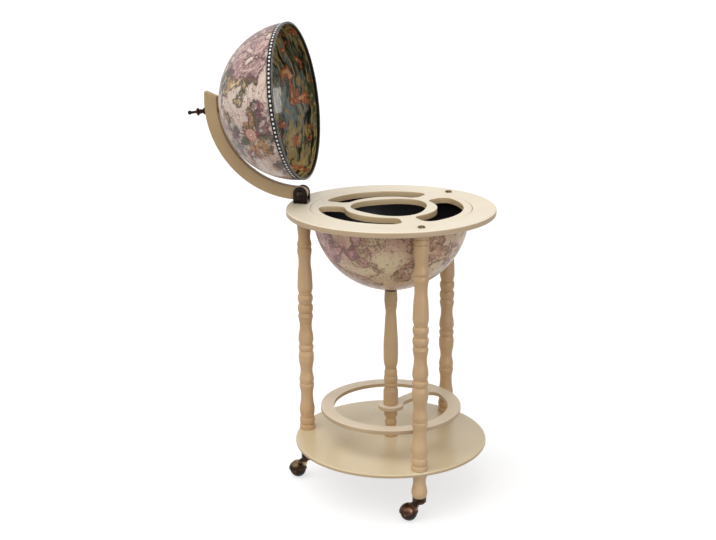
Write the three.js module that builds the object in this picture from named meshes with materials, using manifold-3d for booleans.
// Floor globe bar. Millimetres, +Z up, floor at zero, table axis on the Z axis before the last shift.
// The hinge stands at -X and the lid opens toward -X. Leg 1 is under the hinge.
import * as THREE from "three";
import { mergeVertices } from "three/addons/utils/BufferGeometryUtils.js";
import Module from "manifold-3d";

const wasm = await Module();
wasm.setup();

// Fits
const GAP = 0.3;
const TURN_CLEARANCE = 0.3;
const BOWL_CLEARANCE = 0.8;
const PLUG_CLEARANCE = 1.2;

// Table ring, set round the globe, and insert. Widths run inward from the rim of the globe or out from it.
const TABLE_HEIGHT = 650;
const TABLE_THICK = 13;
const TABLE_ROUNDING_RADIUS = 3;
const RING_WIDTH = 51;
const LEDGE_WIDTH = 5.4;
const INSERT_FLANGE_THICK = 7;
const INSERT_THICK = 12.5;
const SLOT_EDGE_WIDTH = 8.3;
const SLOT_WIDTH = 56;
const SLOT_CORNER_RADIUS = 20;
const SLOT_HALF_ANGLE = THREE.MathUtils.degToRad(51);
const CENTRE_WEB_WIDTH = 11.5;
const CENTRE_LOBE_DEPTH = 6.5;

// Globe halves
const GLOBE_RADIUS = 167.5;
const GLOBE_WALL = 3;
const BOWL_BAND_HEIGHT = 4.8;
const BOLT_RADIUS = 4;
const BOLT_HEAD_RADIUS = 9;
const BOLT_HEAD_HEIGHT = 4;
const BOLT_LENGTH = 44;
const SEAT_RADIUS = 15;
const SEAT_THICK = 4.4;

// Legs, feet and shelf
const LEG_INSET_WIDTH = 31;
const LEG_RADIUS = 17.4;
const LEG_ANGLES = [180, -60, 60].map(THREE.MathUtils.degToRad);
const SHELF_HEIGHT = 123;
const SHELF_OVERHANG_WIDTH = 19;
const SHELF_THICK = 9;
const SHELF_ROUNDING_RADIUS = 3.6;
const FOOT_HEIGHT = 56.5;
const TENON_RADIUS = 6;
const TENON_LENGTH = 12;
const SCREW_RADIUS = 3;
const SCREW_DEPTH = 30;
const CAP_RADIUS = 7.5;
const CAP_HEIGHT = 2.6;
const CAP_DISH_DEPTH = 1.1;
const CAP_LIP_WIDTH = 1.6;
const SUNK_HEAD_RADIUS = 5.5;
const SUNK_HEAD_HEIGHT = 3;

// Column and rack
const COLUMN_RADIUS = 16;
const RACK_HEIGHT = 197.5;
const RACK_THICK = 8;
const RACK_RADIUS = 156;
const RACK_RING_WIDTH = 29;
const RACK_BEVEL_WIDTH = 1.2;
const BOSS_RADIUS = 28;
const TONGUE_HALF_WIDTH = 12.5;
const TONGUE_FILLET_RADIUS = 22;
const TONGUE_ANGLE = THREE.MathUtils.degToRad(60);

// Hinge, arm and pole fittings
const HINGE_OFFSET_WIDTH = 4;
const HINGE_HEIGHT = 21.5;
const OPEN_ANGLE = THREE.MathUtils.degToRad(97.4);
const LID_LIFT_HEIGHT = 1.2;
const ARM_SETBACK_WIDTH = 4.6;
const ARM_DROP_HEIGHT = 0.8;
const ARM_WIDTH = 28;
const ARM_THICK = 18;
const ARM_EASING_WIDTH = 1;
const ARM_OVERRUN = THREE.MathUtils.degToRad(12);
const ARM_SIDE_CLEARANCE = 0.5;
const EAR_THICK = 5;
const EAR_RADIUS = 15.5;
const PIN_RADIUS = 4;
const PIN_HEAD_RADIUS = 7;
const PIN_HEAD_HEIGHT = 3;
const ROD_RADIUS = 3.5;
const FINIAL_RADIUS = 8.6;
const FINIAL_LENGTH = 42;
const COLLAR_RADIUS = 7;
const POLE_WASHER_RADIUS = 12;
const POLE_WASHER_THICK = 1.5;
const POLE_NUT_RADIUS = 8;
const POLE_NUT_HEIGHT = 9;
const RIM_THICK = 1.5;
const RIM_LAP_WIDTH = 0.6;

// Casters
const WHEEL_RADIUS = 18.5;
const HUB_RADIUS = 17.9;
const TYRE_HALF_WIDTH = 5;
const TYRE_SEAT_RADIUS = 13;
const HOOD_THICK = 1.4;
const HOOD_CLEARANCE = 0.9;
const HOOD_EDGE_HEIGHT = 1.5;
const LUG_RADIUS = 5.5;
const AXLE_RADIUS = 2.5;
const TRAIL_LENGTH = 25;
const TRAIL_ANGLES = [178, 165, 120].map(THREE.MathUtils.degToRad);
const CUP_RADIUS = 15.2;
const CUP_WALL = 1.3;
const CUP_RIM_HEIGHT = 4;
const CUP_FLOOR_THICK = 4;
const SWIVEL_RADIUS = 14.6;
const SWIVEL_THICK = 6;
const STEM_RADIUS = 4;
const STEM_LENGTH = 24;
const NECK_HALF_WIDTH = 6;
const NECK_SINK_DEPTH = 3;

// How finely the round pieces are divided
const ROUND_TABLE = 48;
const ROUND_GLOBE = 40;
const ROUND_TURNED = 10;
const ROUND_SMALL = 12;
const ROUND_AXLE = 8;
const GLOBE_STEPS = 8;
const ARM_STEPS = 20;
const CORNER_STEPS = 2;
const BEAD_STEPS = 3;
const TAPER_STEPS = 2;
const WHEEL_STEPS = 4;
const ROUND_WHEEL = 14;
const ROUND_TYRE = 24;
const ROUND_HOOD = 20;
const ARC_STEPS = 14;
const FILLET_STEPS = 4;
const HOOD_STEPS = 10;

// Turned outlines, from the top down. A bead swells from the waist to the radius and back. A taper
// runs smoothly to its radius, and a drum stays at its radius. Lengths are shares of the whole
// length, and radii are shares of the piece's greatest radius.
const LEG_SHARES = [
  { form: "bead", length: 10.3, radius: 0.937, waist: 0.851 },
  { form: "bead", length: 12, radius: 0.931, waist: 0.851 },
  { form: "taper", length: 40, radius: 0.764 },
  { form: "taper", length: 23, radius: 0.914 },
  { form: "bead", length: 14, radius: 0.931, waist: 0.851 },
  { form: "taper", length: 17, radius: 0.782 },
  { form: "drum", length: 10, radius: 0.782 },
  { form: "taper", length: 53, radius: 0.966 },
  { form: "taper", length: 14, radius: 0.828 },
  { form: "bead", length: 20, radius: 0.983, waist: 0.828 },
  { form: "bead", length: 22, radius: 0.983, waist: 0.856 },
  { form: "bead", length: 11, radius: 0.966, waist: 0.856 },
  { form: "taper", length: 17, radius: 0.782 },
  { form: "drum", length: 5, radius: 0.782 },
  { form: "taper", length: 28, radius: 0.966 },
  { form: "taper", length: 14, radius: 0.839 },
  { form: "bead", length: 14, radius: 0.977, waist: 0.851 },
  { form: "drum", length: 28, radius: 0.977 },
  { form: "taper", length: 19, radius: 0.782 },
  { form: "taper", length: 20, radius: 0.948 },
  { form: "taper", length: 8, radius: 0.874 },
  { form: "bead", length: 12, radius: 0.966, waist: 0.874 },
  { form: "taper", length: 15, radius: 0.793 },
  { form: "drum", length: 6, radius: 0.793 },
  { form: "taper", length: 31, radius: 0.977 },
  { form: "taper", length: 17, radius: 0.874 },
  { form: "bead", length: 15, radius: 0.989, waist: 0.874 },
  { form: "drum", length: 12, radius: 1 },
];
const FOOT_SHARES = [
  { form: "drum", length: 5, radius: 0.954 },
  { form: "taper", length: 12, radius: 0.77 },
  { form: "drum", length: 4, radius: 0.77 },
  { form: "taper", length: 18, radius: 0.977 },
  { form: "taper", length: 12, radius: 0.776 },
  { form: "drum", length: 5, radius: 0.776 },
];
const COLUMN_SHARES = [
  { form: "drum", length: 20, radius: 0.875 },
  { form: "taper", length: 19, radius: 0.662 },
  { form: "drum", length: 26, radius: 0.662 },
  { form: "taper", length: 48, radius: 0.988 },
  { form: "drum", length: 42, radius: 0.988 },
  { form: "taper", length: 24, radius: 0.787 },
  { form: "bead", length: 14, radius: 0.912, waist: 0.775 },
  { form: "bead", length: 18, radius: 0.925, waist: 0.775 },
  { form: "bead", length: 11, radius: 0.925, waist: 0.812 },
  { form: "drum", length: 36, radius: 1 },
];
const BASE_SHARES = [
  { form: "drum", length: 8, radius: 0.875 },
  { form: "taper", length: 20, radius: 0.613 },
  { form: "drum", length: 8, radius: 0.613 },
  { form: "taper", length: 16, radius: 0.725 },
  { form: "bead", length: 10, radius: 0.875, waist: 0.725 },
];
// The finial, from its tip to the arm
const FINIAL_SHARES = [
  { form: "bead", length: 8.5, radius: 0.523, waist: 0.186 },
  { form: "drum", length: 5, radius: 0.244 },
  { form: "taper", length: 7, radius: 0.465 },
  { form: "bead", length: 7, radius: 1, waist: 0.337 },
  { form: "bead", length: 5, radius: 0.523, waist: 0.337 },
  { form: "taper", length: 5, radius: 0.744 },
  { form: "drum", length: 3.5, radius: 0.895 },
];

// Finishes
const CREAM = { color: 0xd9c7a3, roughness: 0.42, metalness: 0 };
const TAN = { color: 0xb89c74, roughness: 0.45, metalness: 0 };
const PRINT = { color: 0xc2a493, roughness: 0.4, metalness: 0 };
const BRONZE = { color: 0x4a3222, roughness: 0.38, metalness: 0.85 };
const DARK_IRON = { color: 0x1f1614, roughness: 0.4, metalness: 0.6 };
const BRASS = { color: 0x7a6248, roughness: 0.35, metalness: 0.9 };
const RUBBER = { color: 0x151516, roughness: 0.6, metalness: 0 };
const GREY_TRIM = { color: 0x8a857c, roughness: 0.35, metalness: 0.7 };

// Helpers

// A turned solid about Z from [radius, height] pairs
function turn(pairs, sections) {
  const points = pairs.map(([radius, height]) => new THREE.Vector2(radius, height));
  const geometry = new THREE.LatheGeometry(points, sections);
  geometry.rotateX(Math.PI / 2);
  return facingOut(geometry);
}

// Signed volume of a closed triangle mesh
function volumeOf(geometry) {
  const flat = geometry.index ? geometry.toNonIndexed() : geometry;
  const at = flat.attributes.position;
  const [a, b, c] = [new THREE.Vector3(), new THREE.Vector3(), new THREE.Vector3()];
  let sum = 0;
  for (let i = 0; i < at.count; i += 3) {
    a.fromBufferAttribute(at, i);
    b.fromBufferAttribute(at, i + 1);
    c.fromBufferAttribute(at, i + 2);
    sum += a.dot(b.cross(c));
  }
  return sum;
}

function facingOut(geometry) {
  if (volumeOf(geometry) < 0) {
    const index = geometry.index.array;
    for (let i = 0; i < index.length; i += 3) {
      [index[i], index[i + 1]] = [index[i + 1], index[i]];
    }
  }
  return geometry;
}

function solid(geometry) {
  const bare = new THREE.BufferGeometry();
  bare.setAttribute("position", geometry.attributes.position.clone());
  if (geometry.index) bare.setIndex(geometry.index.clone());
  const welded = mergeVertices(bare);
  return new wasm.Manifold(new wasm.Mesh({
    numProp: 3,
    vertProperties: new Float32Array(welded.attributes.position.array),
    triVerts: new Uint32Array(welded.index.array),
  }));
}

function shape(manifold) {
  const mesh = manifold.getMesh();
  const indexed = new THREE.BufferGeometry();
  indexed.setAttribute("position", new THREE.BufferAttribute(mesh.vertProperties, mesh.numProp));
  indexed.setIndex(new THREE.BufferAttribute(mesh.triVerts, 1));
  const geometry = indexed.toNonIndexed();
  geometry.computeVertexNormals();
  return geometry;
}

function carve(geometry, cutters) {
  return shape(cutters.reduce((left, cutter) => left.subtract(solid(cutter)), solid(geometry)));
}

function join(geometries) {
  return geometries.map(solid).reduce((whole, next) => whole.add(next));
}

// A rod about Z between two heights
function rod(radius, low, high, sections = ROUND_SMALL) {
  return turn([[0, low], [radius, low], [radius, high], [0, high]], sections);
}

// A ring about Z between two heights
function hoop(inner, outer, low, high, sections = ROUND_SMALL) {
  return turn([[inner, low], [outer, low], [outer, high], [inner, high], [inner, low]], sections);
}

function arc(radius, from, to, steps, centreHeight = 0) {
  return Array.from({ length: steps + 1 }, (_, i) => {
    const angle = from + (to - from) * i / steps;
    return [radius * Math.cos(angle), centreHeight + radius * Math.sin(angle)];
  });
}

// The outline of a turned piece, from the top down
function turnings(rows, greatest, top, length) {
  const whole = rows.reduce((sum, row) => sum + row.length, 0);
  const pairs = [];
  let height = top;
  let radius = (rows[0].waist ?? rows[0].radius) * greatest;
  for (const row of rows) {
    const drop = length * row.length / whole;
    const reach = row.radius * greatest;
    if (row.form === "bead") {
      const waist = row.waist * greatest;
      for (let i = 0; i <= BEAD_STEPS; i += 1) {
        const turnAngle = Math.PI * i / BEAD_STEPS;
        const swell = Math.sin(turnAngle) / Math.sin(Math.PI / BEAD_STEPS);
        const share = (1 - Math.cos(turnAngle)) / 2;
        pairs.push([waist + (reach - waist) * swell, height - drop * share]);
      }
      radius = waist;
    } else if (row.form === "taper") {
      for (let i = 0; i <= TAPER_STEPS; i += 1) {
        const share = i / TAPER_STEPS;
        const ease = Math.sin(Math.PI / 2 * share);
        pairs.push([radius + (reach - radius) * ease, height - drop * share]);
      }
      radius = reach;
    } else {
      pairs.push([reach, height], [reach, height - drop]);
      radius = reach;
    }
    height -= drop;
  }
  return pairs.filter((pair, i) => i === 0 || Math.hypot(pair[0] - pairs[i - 1][0],
    pair[1] - pairs[i - 1][1]) > GAP / 10);
}

function mesh(name, geometry, finish) {
  const piece = new THREE.Mesh(geometry, new THREE.MeshStandardMaterial(finish));
  piece.name = name;
  return piece;
}

function polar(radius, angle) {
  return [radius * Math.cos(angle), radius * Math.sin(angle)];
}

// Points of a bend about a centre
function bend(centre, radius, from, to, steps) {
  return Array.from({ length: steps + 1 }, (_, i) => {
    const [x, y] = polar(radius, from + (to - from) * i / steps);
    return new THREE.Vector2(centre[0] + x, centre[1] + y);
  });
}

// An outline drawn in X and Z, run along Y with its middle at Y zero
function slab(outline, thickness, easing = 0) {
  const geometry = new THREE.ExtrudeGeometry(outline, {
    depth: thickness - 2 * easing,
    bevelEnabled: easing > 0,
    bevelSize: easing,
    bevelThickness: easing,
    bevelOffset: -easing,
    bevelSegments: 1,
  });
  geometry.translate(0, 0, easing - thickness / 2);
  geometry.rotateX(Math.PI / 2);
  return geometry;
}

const globeBar = new THREE.Group();
globeBar.name = "globe_bar";

// Table ring: a stepped bore takes the insert, three holes take the leg screws
const tableBottom = TABLE_HEIGHT - TABLE_THICK;
const ledgeHeight = TABLE_HEIGHT - INSERT_FLANGE_THICK - GAP;
const ledgeRadius = GLOBE_RADIUS + BOWL_CLEARANCE;
const insertRadius = ledgeRadius + LEDGE_WIDTH;
const boreRadius = insertRadius + GAP;
const tableRadius = boreRadius + RING_WIDTH;
const legCircle = tableRadius - LEG_INSET_WIDTH;

function roundedRim(radius, low, high, rounding) {
  const corner = Array.from({ length: CORNER_STEPS + 1 }, (_, i) => Math.PI / 2 * i / CORNER_STEPS);
  const lower = corner.map((a) => [
    radius - rounding + rounding * Math.sin(a), low + rounding - rounding * Math.cos(a)]);
  const upper = corner.map((a) => [
    radius - rounding + rounding * Math.cos(a), high - rounding + rounding * Math.sin(a)]);
  return [...lower, ...upper];
}

const ringBlank = turn([
  [ledgeRadius, tableBottom],
  ...roundedRim(tableRadius, tableBottom, TABLE_HEIGHT, TABLE_ROUNDING_RADIUS),
  [boreRadius, TABLE_HEIGHT],
  [boreRadius, ledgeHeight],
  [ledgeRadius, ledgeHeight],
  [ledgeRadius, tableBottom],
], ROUND_TABLE);
const screwHoles = LEG_ANGLES.map((angle) => {
  const hole = rod(SCREW_RADIUS + GAP, tableBottom - TABLE_THICK, TABLE_HEIGHT + TABLE_THICK);
  return hole.translate(...polar(legCircle, angle), 0);
});
globeBar.add(mesh("table_ring", carve(ringBlank, screwHoles), CREAM));

// Insert: three curved slots round a lobed centre opening
const plugRadius = GLOBE_RADIUS - GLOBE_WALL - PLUG_CLEARANCE;
const slotOuter = plugRadius - SLOT_EDGE_WIDTH;
const slotInner = slotOuter - SLOT_WIDTH;
const centreRadius = slotInner - CENTRE_WEB_WIDTH - CENTRE_LOBE_DEPTH;

function slotOutline() {
  const outer = slotOuter - SLOT_CORNER_RADIUS;
  const inner = slotInner + SLOT_CORNER_RADIUS;
  const outerTurn = SLOT_HALF_ANGLE - SLOT_CORNER_RADIUS / outer;
  const innerTurn = SLOT_HALF_ANGLE - SLOT_CORNER_RADIUS / inner;
  const quarter = Math.PI / 2;
  return new THREE.Shape([
    ...bend([0, 0], slotOuter, -outerTurn, outerTurn, ARC_STEPS),
    ...bend(polar(outer, outerTurn), SLOT_CORNER_RADIUS, outerTurn, outerTurn + quarter,
      FILLET_STEPS).slice(1),
    ...bend(polar(inner, innerTurn), SLOT_CORNER_RADIUS, innerTurn + quarter, innerTurn + 2 * quarter,
      FILLET_STEPS),
    ...bend([0, 0], slotInner, innerTurn, -innerTurn, ARC_STEPS).slice(1),
    ...bend(polar(inner, -innerTurn), SLOT_CORNER_RADIUS, 2 * quarter - innerTurn, 3 * quarter - innerTurn,
      FILLET_STEPS).slice(1),
    ...bend(polar(outer, -outerTurn), SLOT_CORNER_RADIUS, -quarter - outerTurn, -outerTurn,
      FILLET_STEPS).slice(0, -1),
  ]);
}

function centreOutline() {
  const points = Array.from({ length: ROUND_GLOBE }, (_, i) => {
    const angle = Math.PI * 2 * i / ROUND_GLOBE;
    return new THREE.Vector2(...polar(centreRadius - CENTRE_LOBE_DEPTH * Math.cos(3 * angle), angle));
  });
  return new THREE.Shape(points);
}

function cutter(outline) {
  const geometry = new THREE.ExtrudeGeometry(outline, { depth: 3 * TABLE_THICK, bevelEnabled: false });
  return geometry.translate(0, 0, TABLE_HEIGHT - 2 * TABLE_THICK);
}

const insertBottom = TABLE_HEIGHT - INSERT_THICK;
const flangeBottom = TABLE_HEIGHT - INSERT_FLANGE_THICK;
const insertBlank = turn([
  [0, insertBottom],
  [plugRadius, insertBottom],
  [plugRadius, flangeBottom],
  [insertRadius, flangeBottom],
  [insertRadius, TABLE_HEIGHT],
  [0, TABLE_HEIGHT],
], ROUND_TABLE);
const slotAngles = LEG_ANGLES.map((angle) => angle + Math.PI);
const insertCutters = [
  ...slotAngles.map((angle) => cutter(slotOutline()).rotateZ(angle)),
  cutter(centreOutline()),
];
globeBar.add(mesh("insert", carve(insertBlank, insertCutters), CREAM));

// Lower globe half, with its rim inside the table ring
const bowlRim = flangeBottom - GAP;
const bowlCentre = bowlRim - BOWL_BAND_HEIGHT;
const boltHole = BOLT_RADIUS + GAP;
const globeInner = GLOBE_RADIUS - GLOBE_WALL;

// A half globe about Z, cut off at a lift above its centre and drawn on by a band below it
function halfGlobe(lift, band) {
  const outerStart = Math.acos(boltHole / GLOBE_RADIUS);
  const innerStart = Math.acos(boltHole / globeInner);
  const outer = arc(GLOBE_RADIUS, outerStart, Math.asin(lift / GLOBE_RADIUS), GLOBE_STEPS);
  const inner = arc(globeInner, Math.asin(lift / globeInner), innerStart, GLOBE_STEPS);
  const rim = band > 0 ? [[GLOBE_RADIUS, -band], [globeInner, -band]] : [];
  return turn([...outer, ...rim, ...inner, outer[0]], ROUND_GLOBE);
}

const bowl = halfGlobe(0, BOWL_BAND_HEIGHT).rotateX(Math.PI).translate(0, 0, bowlCentre);
globeBar.add(mesh("bowl", bowl, PRINT));

// Bolt and seat that hold the bowl on the column
const bowlBottom = bowlCentre - GLOBE_RADIUS;
const headSeat = bowlBottom + GLOBE_WALL + 3 * GAP;
const seatTop = bowlBottom - GAP;
const columnTop = seatTop - SEAT_THICK - GAP;

function dome(radius, height, low) {
  return Array.from({ length: CORNER_STEPS + 1 }, (_, i) => {
    const angle = Math.PI / 2 * i / CORNER_STEPS;
    return [i === CORNER_STEPS ? 0 : radius * Math.cos(angle), low + height * Math.sin(angle)];
  });
}

globeBar.add(mesh("bowl_bolt", turn([
  [0, headSeat - BOLT_LENGTH],
  [BOLT_RADIUS, headSeat - BOLT_LENGTH],
  [BOLT_RADIUS, headSeat],
  ...dome(BOLT_HEAD_RADIUS, BOLT_HEAD_HEIGHT, headSeat),
], ROUND_SMALL), BRONZE));
globeBar.add(mesh("bowl_seat", hoop(boltHole, SEAT_RADIUS, seatTop - SEAT_THICK, seatTop, ROUND_WHEEL),
  DARK_IRON));

// Column: the upper part ends in a tenon that runs through the rack into the lower part
const tenonHole = TENON_RADIUS + GAP;
const rackBottom = RACK_HEIGHT - RACK_THICK;
const columnFoot = RACK_HEIGHT + GAP;
const baseTop = rackBottom - GAP;
const tenonEnd = baseTop - TENON_LENGTH;
const boltPocket = headSeat - BOLT_LENGTH - 2 * GAP;
globeBar.add(mesh("column_upper", turn([
  [0, boltPocket],
  [boltHole, boltPocket],
  [boltHole, columnTop],
  ...turnings(COLUMN_SHARES, COLUMN_RADIUS, columnTop, columnTop - columnFoot),
  [TENON_RADIUS, columnFoot],
  [TENON_RADIUS, tenonEnd],
  [0, tenonEnd],
], ROUND_WHEEL), TAN));

const shelfBottom = SHELF_HEIGHT - SHELF_THICK;
const baseFoot = SHELF_HEIGHT + GAP;
globeBar.add(mesh("column_lower", turn([
  [0, tenonEnd - GAP],
  [tenonHole, tenonEnd - GAP],
  [tenonHole, baseTop],
  ...turnings(BASE_SHARES, COLUMN_RADIUS, baseTop, baseTop - baseFoot),
  [TENON_RADIUS, baseFoot],
  [TENON_RADIUS, shelfBottom],
  [0, shelfBottom],
], ROUND_WHEEL), TAN));

// Rack: a ring held by one tongue that runs from a boss on the column
function rackOutline() {
  const side = TONGUE_HALF_WIDTH + TONGUE_FILLET_RADIUS;
  const bossReach = BOSS_RADIUS + TONGUE_FILLET_RADIUS;
  const inner = RACK_RADIUS - RACK_RING_WIDTH;
  const ringReach = inner - TONGUE_FILLET_RADIUS;
  const bossMeet = Math.asin(side / bossReach);
  const ringMeet = Math.asin(side / ringReach);
  const [bossX, ringX] = [bossReach * Math.cos(bossMeet), ringReach * Math.cos(ringMeet)];
  const half = Math.PI / 2;
  const ring = new THREE.Shape(bend([0, 0], RACK_RADIUS, 0, 4 * half, ROUND_TABLE).slice(1));
  const opening = new THREE.Path([
    ...bend([0, 0], inner, ringMeet, 4 * half - ringMeet, 3 * ARC_STEPS),
    ...bend([ringX, -side], TONGUE_FILLET_RADIUS, -ringMeet, half, FILLET_STEPS).slice(1),
    ...bend([bossX, -side], TONGUE_FILLET_RADIUS, half, 2 * half - bossMeet, FILLET_STEPS),
    ...bend([0, 0], BOSS_RADIUS, -bossMeet, bossMeet - 4 * half, ARC_STEPS).slice(1, -1),
    ...bend([bossX, side], TONGUE_FILLET_RADIUS, 2 * half + bossMeet, 3 * half, FILLET_STEPS),
    ...bend([ringX, side], TONGUE_FILLET_RADIUS, 3 * half, 4 * half + ringMeet, FILLET_STEPS).slice(0, -1),
  ]);
  const hole = new THREE.Path(bend([0, 0], tenonHole, 0, 4 * half, ROUND_SMALL).slice(1));
  ring.holes.push(opening, hole);
  return ring;
}

const rack = new THREE.ExtrudeGeometry(rackOutline(), {
  depth: RACK_THICK - 2 * RACK_BEVEL_WIDTH,
  bevelEnabled: true,
  bevelSize: RACK_BEVEL_WIDTH,
  bevelThickness: RACK_BEVEL_WIDTH,
  bevelOffset: -RACK_BEVEL_WIDTH,
  bevelSegments: 1,
});
rack.rotateZ(TONGUE_ANGLE);
rack.translate(0, 0, rackBottom + RACK_BEVEL_WIDTH);
globeBar.add(mesh("rack", rack, CREAM));

// Shelf
const shelfBlank = turn([
  [tenonHole, shelfBottom],
  ...roundedRim(legCircle + SHELF_OVERHANG_WIDTH, shelfBottom, SHELF_HEIGHT, SHELF_ROUNDING_RADIUS),
  [tenonHole, SHELF_HEIGHT],
  [tenonHole, shelfBottom],
], ROUND_TABLE);
const tenonHoles = LEG_ANGLES.map((angle) => {
  const hole = rod(tenonHole, shelfBottom - SHELF_THICK, SHELF_HEIGHT + SHELF_THICK);
  return hole.translate(...polar(legCircle, angle), 0);
});
globeBar.add(mesh("shelf", carve(shelfBlank, tenonHoles), CREAM));

// Hinge geometry, in X and Z
const hingeX = -legCircle - HINGE_OFFSET_WIDTH;
const hingeZ = TABLE_HEIGHT + HINGE_HEIGHT;
const lidCentre = new THREE.Vector2(-hingeX, LID_LIFT_HEIGHT - HINGE_HEIGHT);
const armCentre = new THREE.Vector2(lidCentre.x - ARM_SETBACK_WIDTH, lidCentre.y - ARM_DROP_HEIGHT);
const armMiddle = armCentre.length();
const armOuter = armMiddle + ARM_WIDTH / 2;
const armInner = armMiddle - ARM_WIDTH / 2;
const openArmHeight = armCentre.x * Math.sin(OPEN_ANGLE) + armCentre.y * Math.cos(OPEN_ANGLE);
const bracketFloor = HINGE_HEIGHT + openArmHeight - armOuter - GAP;
const earGap = ARM_THICK + 2 * ARM_SIDE_CLEARANCE;
const bracketWidth = earGap + 2 * EAR_THICK;

// Legs, feet, screws and casters, one of each at every leg
const legTop = tableBottom - GAP;
const legFoot = SHELF_HEIGHT + GAP;
const footTop = shelfBottom - GAP;
const legTenonEnd = footTop - TENON_LENGTH;
const screwPocket = legTop - SCREW_DEPTH;
const screwEnd = screwPocket + GAP;
const legShape = turn([
  [0, screwPocket],
  [SCREW_RADIUS + GAP, screwPocket],
  [SCREW_RADIUS + GAP, legTop],
  ...turnings(LEG_SHARES, LEG_RADIUS, legTop, legTop - legFoot),
  [TENON_RADIUS, legFoot],
  [TENON_RADIUS, legTenonEnd],
  [0, legTenonEnd],
], ROUND_TURNED);

const stemEnd = FOOT_HEIGHT + STEM_LENGTH;
const stemHole = STEM_RADIUS + TURN_CLEARANCE;
const footShape = turn([
  [0, legTenonEnd - GAP],
  [tenonHole, legTenonEnd - GAP],
  [tenonHole, footTop],
  ...turnings(FOOT_SHARES, LEG_RADIUS, footTop, footTop - FOOT_HEIGHT),
  [stemHole, FOOT_HEIGHT],
  [stemHole, stemEnd + GAP],
  [0, stemEnd + GAP],
], ROUND_TURNED);

const cupFloorTop = FOOT_HEIGHT - GAP;
const cupBottom = cupFloorTop - CUP_FLOOR_THICK;
const cupShape = turn([
  [stemHole, cupBottom],
  [CUP_RADIUS, cupBottom],
  [CUP_RADIUS, FOOT_HEIGHT + CUP_RIM_HEIGHT],
  [CUP_RADIUS - CUP_WALL, FOOT_HEIGHT + CUP_RIM_HEIGHT],
  [CUP_RADIUS - CUP_WALL, cupFloorTop],
  [stemHole, cupFloorTop],
  [stemHole, cupBottom],
], ROUND_WHEEL);

// Caster frame about the swivel axis, with the wheel trailing toward +X
const swivelTop = cupBottom - GAP;
const swivelBottom = swivelTop - SWIVEL_THICK;
const wheelHeight = WHEEL_RADIUS * Math.cos(Math.PI / ROUND_TYRE);
const hoodInner = WHEEL_RADIUS + HOOD_CLEARANCE;
const hoodOuter = hoodInner + HOOD_THICK;

function ball(radius) {
  const pairs = arc(radius, -Math.PI / 2, Math.PI / 2, HOOD_STEPS);
  return turn(pairs.map(([r, z], i) => [i % HOOD_STEPS === 0 ? 0 : r, z]), ROUND_HOOD);
}

function atWheel(geometry) {
  return geometry.translate(TRAIL_LENGTH, 0, wheelHeight);
}

// The hood keeps what is above its edge, and a lug on each side down round the axle
const aboveEdge = new THREE.BoxGeometry(3 * hoodOuter, 3 * hoodOuter, hoodOuter);
aboveEdge.translate(0, 0, HOOD_EDGE_HEIGHT + hoodOuter / 2);
const lugs = rod(LUG_RADIUS, -2 * hoodOuter, 2 * hoodOuter).rotateX(Math.PI / 2);
const kept = join([atWheel(aboveEdge), atWheel(lugs)]);
const hood = solid(atWheel(ball(hoodOuter))).intersect(kept);
const neckOutline = new THREE.Shape([
  new THREE.Vector2(-SWIVEL_RADIUS / 2, swivelBottom + NECK_SINK_DEPTH),
  new THREE.Vector2(0, swivelBottom - NECK_SINK_DEPTH),
  new THREE.Vector2(TRAIL_LENGTH - hoodInner + NECK_SINK_DEPTH, wheelHeight + HOOD_EDGE_HEIGHT),
  new THREE.Vector2(TRAIL_LENGTH, wheelHeight + hoodInner),
  new THREE.Vector2(SWIVEL_RADIUS - NECK_SINK_DEPTH, swivelBottom + NECK_SINK_DEPTH),
]);
const neck = slab(neckOutline, 2 * NECK_HALF_WIDTH);
const swivel = rod(SWIVEL_RADIUS, swivelBottom, swivelTop, ROUND_WHEEL);
const stem = rod(STEM_RADIUS, swivelBottom + NECK_SINK_DEPTH, stemEnd);
const axleHole = atWheel(rod(AXLE_RADIUS + TURN_CLEARANCE, -2 * hoodOuter, 2 * hoodOuter)
  .rotateX(Math.PI / 2));
const frameShape = shape(join([swivel, stem, neck])
  .add(hood)
  .subtract(solid(atWheel(ball(hoodInner))))
  .subtract(solid(axleHole)));

// Wheel: a ball with a groove for the tyre, about its axle. One flat of the tyre lies on the floor.
const hubEdge = Math.asin(TYRE_HALF_WIDTH / HUB_RADIUS);
const hubBore = AXLE_RADIUS + TURN_CLEARANCE;
const hubDome = arc(HUB_RADIUS, Math.acos(hubBore / HUB_RADIUS), hubEdge, WHEEL_STEPS);
const hubShape = turn([
  ...hubDome,
  [TYRE_SEAT_RADIUS, TYRE_HALF_WIDTH],
  [TYRE_SEAT_RADIUS, -TYRE_HALF_WIDTH],
  ...hubDome.map(([radius, along]) => [radius, -along]).reverse(),
  hubDome[0],
], ROUND_WHEEL).rotateX(Math.PI / 2);
const tyreCrown = Math.asin((TYRE_HALF_WIDTH - GAP) / WHEEL_RADIUS);
const tyreShape = turn([
  [TYRE_SEAT_RADIUS + GAP, GAP - TYRE_HALF_WIDTH],
  ...arc(WHEEL_RADIUS, -tyreCrown, tyreCrown, 2),
  [TYRE_SEAT_RADIUS + GAP, TYRE_HALF_WIDTH - GAP],
  [TYRE_SEAT_RADIUS + GAP, GAP - TYRE_HALF_WIDTH],
], ROUND_TYRE).rotateX(Math.PI / 2).rotateY(Math.PI / ROUND_TYRE);
const axleShape = rod(AXLE_RADIUS, -hoodOuter, hoodOuter, ROUND_AXLE).rotateX(Math.PI / 2);

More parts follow.
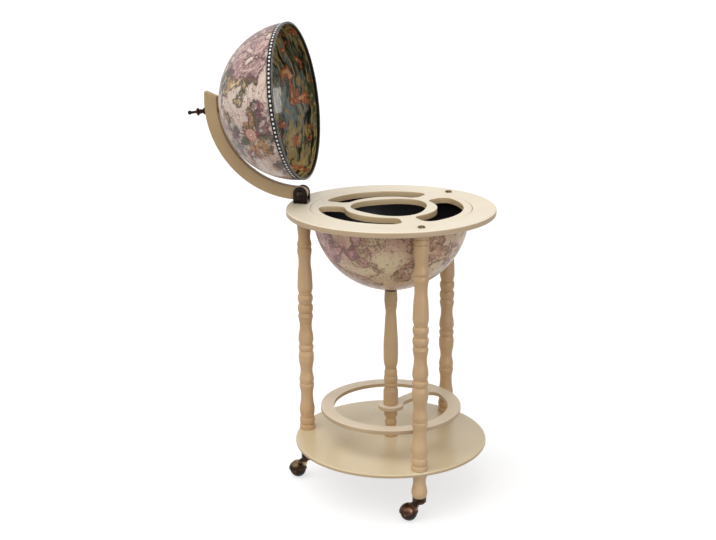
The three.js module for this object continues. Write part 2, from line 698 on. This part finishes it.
LEG_ANGLES.forEach((angle, i) => {
  const place = new THREE.Group();
  place.position.set(...polar(legCircle, angle), 0);
  place.add(mesh(`leg_${i + 1}`, legShape, TAN));
  place.add(mesh(`foot_${i + 1}`, footShape, TAN));
  place.add(mesh(`caster_cup_${i + 1}`, cupShape, BRONZE));
  const caster = new THREE.Group();
  caster.rotation.z = TRAIL_ANGLES[i];
  caster.add(mesh(`caster_frame_${i + 1}`, frameShape, BRONZE));
  const wheel = new THREE.Group();
  wheel.position.set(TRAIL_LENGTH, 0, wheelHeight);
  wheel.add(mesh(`caster_axle_${i + 1}`, axleShape, BRASS));
  wheel.add(mesh(`caster_wheel_${i + 1}`, hubShape, BRONZE));
  wheel.add(mesh(`caster_tyre_${i + 1}`, tyreShape, RUBBER));
  caster.add(wheel);
  place.add(caster);
  if (i > 0) {
    const capSeat = TABLE_HEIGHT + GAP;
    const capTop = capSeat + CAP_HEIGHT;
    place.add(mesh(`screw_cap_${i + 1}`, turn([
      [0, screwEnd],
      [SCREW_RADIUS, screwEnd],
      [SCREW_RADIUS, capSeat],
      [CAP_RADIUS, capSeat],
      [CAP_RADIUS - CAP_LIP_WIDTH / 2, capTop],
      [CAP_RADIUS - CAP_LIP_WIDTH, capTop],
      [0, capTop - CAP_DISH_DEPTH],
    ], ROUND_WHEEL), BRASS));
  } else {
    const headTop = TABLE_HEIGHT + bracketFloor;
    place.add(mesh("bracket_screw", turn([
      [0, screwEnd],
      [SCREW_RADIUS, screwEnd],
      [SCREW_RADIUS, headTop - SUNK_HEAD_HEIGHT],
      [SUNK_HEAD_RADIUS, headTop - SUNK_HEAD_HEIGHT],
      [SUNK_HEAD_RADIUS, headTop],
      [0, headTop],
    ], ROUND_SMALL), DARK_IRON));
  }
  globeBar.add(place);
});

// Hinge bracket: a floor and two round-topped ears
const bracketOutline = new THREE.Shape([
  new THREE.Vector2(-EAR_RADIUS, GAP - HINGE_HEIGHT),
  new THREE.Vector2(EAR_RADIUS, GAP - HINGE_HEIGHT),
  ...bend([0, 0], EAR_RADIUS, 0, Math.PI, 2 * FILLET_STEPS),
]);
const earSlot = new THREE.BoxGeometry(3 * EAR_RADIUS, earGap, 2 * HINGE_HEIGHT);
earSlot.translate(0, 0, bracketFloor);
const pinHole = rod(PIN_RADIUS + GAP, -bracketWidth, bracketWidth).rotateX(Math.PI / 2);
const bracketHole = rod(SCREW_RADIUS + GAP, -2 * HINGE_HEIGHT, 0).translate(HINGE_OFFSET_WIDTH, 0, 0);
const headPocket = rod(SUNK_HEAD_RADIUS + GAP, bracketFloor - HINGE_HEIGHT - SUNK_HEAD_HEIGHT - GAP, 0)
  .translate(HINGE_OFFSET_WIDTH, 0, 0);
const bracket = mesh("hinge_bracket", carve(slab(bracketOutline, bracketWidth),
  [earSlot, pinHole, bracketHole, headPocket]), DARK_IRON);
bracket.position.set(hingeX, 0, hingeZ);
globeBar.add(bracket);

const pinReach = bracketWidth / 2 + GAP;
const pin = mesh("hinge_pin", turn([
  [0, -pinReach - PIN_HEAD_HEIGHT],
  [PIN_RADIUS, -pinReach - PIN_HEAD_HEIGHT],
  [PIN_RADIUS, pinReach],
  ...dome(PIN_HEAD_RADIUS, PIN_HEAD_HEIGHT, pinReach),
], ROUND_SMALL).rotateX(Math.PI / 2), DARK_IRON);
pin.position.set(hingeX, 0, hingeZ);
globeBar.add(pin);
const pinNut = mesh("hinge_nut", hoop(PIN_RADIUS + GAP, PIN_HEAD_RADIUS, -pinReach - PIN_HEAD_HEIGHT,
  -pinReach).rotateX(Math.PI / 2), DARK_IRON);
pinNut.position.set(hingeX, 0, hingeZ);
globeBar.add(pinNut);

// Lid group: drawn closed about the hinge, then swung open
const lidSwing = new THREE.Group();
lidSwing.position.set(hingeX, 0, hingeZ);
lidSwing.rotation.y = -OPEN_ANGLE;
globeBar.add(lidSwing);

const hingeAngle = Math.atan2(-armCentre.y, -armCentre.x);
const armEnd = Math.PI / 2 - ARM_OVERRUN;
const armMiddlePoint = [armCentre.x, armCentre.y];
const armOutline = new THREE.Shape([
  ...bend(armMiddlePoint, armOuter, hingeAngle, armEnd, ARM_STEPS),
  ...bend(armMiddlePoint, armInner, armEnd, hingeAngle, ARM_STEPS),
  ...bend([0, 0], ARM_WIDTH / 2, hingeAngle + Math.PI, hingeAngle, 2 * FILLET_STEPS).slice(1, -1),
]);
const armPinHole = rod(PIN_RADIUS + TURN_CLEARANCE, -ARM_THICK, ARM_THICK).rotateX(Math.PI / 2);
const rodHole = rod(ROD_RADIUS + GAP, 0, armOuter + armMiddle).translate(lidCentre.x, 0, 0);
lidSwing.add(mesh("arm", carve(slab(armOutline, ARM_THICK, ARM_EASING_WIDTH), [armPinHole, rodHole]), TAN));

// Lid and the fittings at its pole, about the lid's own axis
const pole = new THREE.Group();
pole.position.set(lidCentre.x, 0, lidCentre.y);
lidSwing.add(pole);

pole.add(mesh("lid", halfGlobe(RIM_THICK + GAP, 0), PRINT));
pole.add(mesh("lid_rim", hoop(globeInner - RIM_LAP_WIDTH, GLOBE_RADIUS + RIM_LAP_WIDTH, 0, RIM_THICK,
  ROUND_GLOBE), GREY_TRIM));

function armFace(radius) {
  return Math.sqrt(radius ** 2 - ARM_SETBACK_WIDTH ** 2) - ARM_DROP_HEIGHT;
}

const finialSeat = armFace(armOuter) + 2 * GAP;
const washerTop = globeInner - 4 * GAP;
const washerBottom = washerTop - POLE_WASHER_THICK;
const rodEnd = washerBottom - POLE_NUT_HEIGHT / 2;
pole.add(mesh("finial", turn([
  [0, finialSeat + FINIAL_LENGTH],
  ...turnings(FINIAL_SHARES, FINIAL_RADIUS, finialSeat + FINIAL_LENGTH, FINIAL_LENGTH),
  [ROD_RADIUS, finialSeat],
  [ROD_RADIUS, rodEnd],
  [0, rodEnd],
], ROUND_SMALL), BRONZE));
pole.add(mesh("pole_collar", hoop(ROD_RADIUS + GAP, COLLAR_RADIUS, GLOBE_RADIUS + GAP,
  armFace(armInner) - 2 * GAP), BRASS));
pole.add(mesh("pole_washer", hoop(ROD_RADIUS + GAP, POLE_WASHER_RADIUS, washerBottom, washerTop,
  ROUND_WHEEL), BRASS));
const nutTop = washerBottom - GAP;
pole.add(mesh("pole_nut", turn([
  [0, rodEnd - GAP],
  [ROD_RADIUS + GAP, rodEnd - GAP],
  [ROD_RADIUS + GAP, nutTop],
  [POLE_NUT_RADIUS, nutTop],
  [POLE_NUT_RADIUS, nutTop - POLE_NUT_HEIGHT / 2],
  [0, nutTop - POLE_NUT_HEIGHT],
], ROUND_SMALL), BRASS));

// The origin is set under the middle of the whole shape, on the floor
globeBar.updateMatrixWorld(true);
const extent = new THREE.Box3().setFromObject(globeBar, true);
const middle = extent.getCenter(new THREE.Vector3());
const shifted = new THREE.Group();
shifted.name = "floor_globe_bar";
globeBar.position.set(-middle.x, -middle.y, -extent.min.z);
shifted.add(globeBar);

export default shifted;
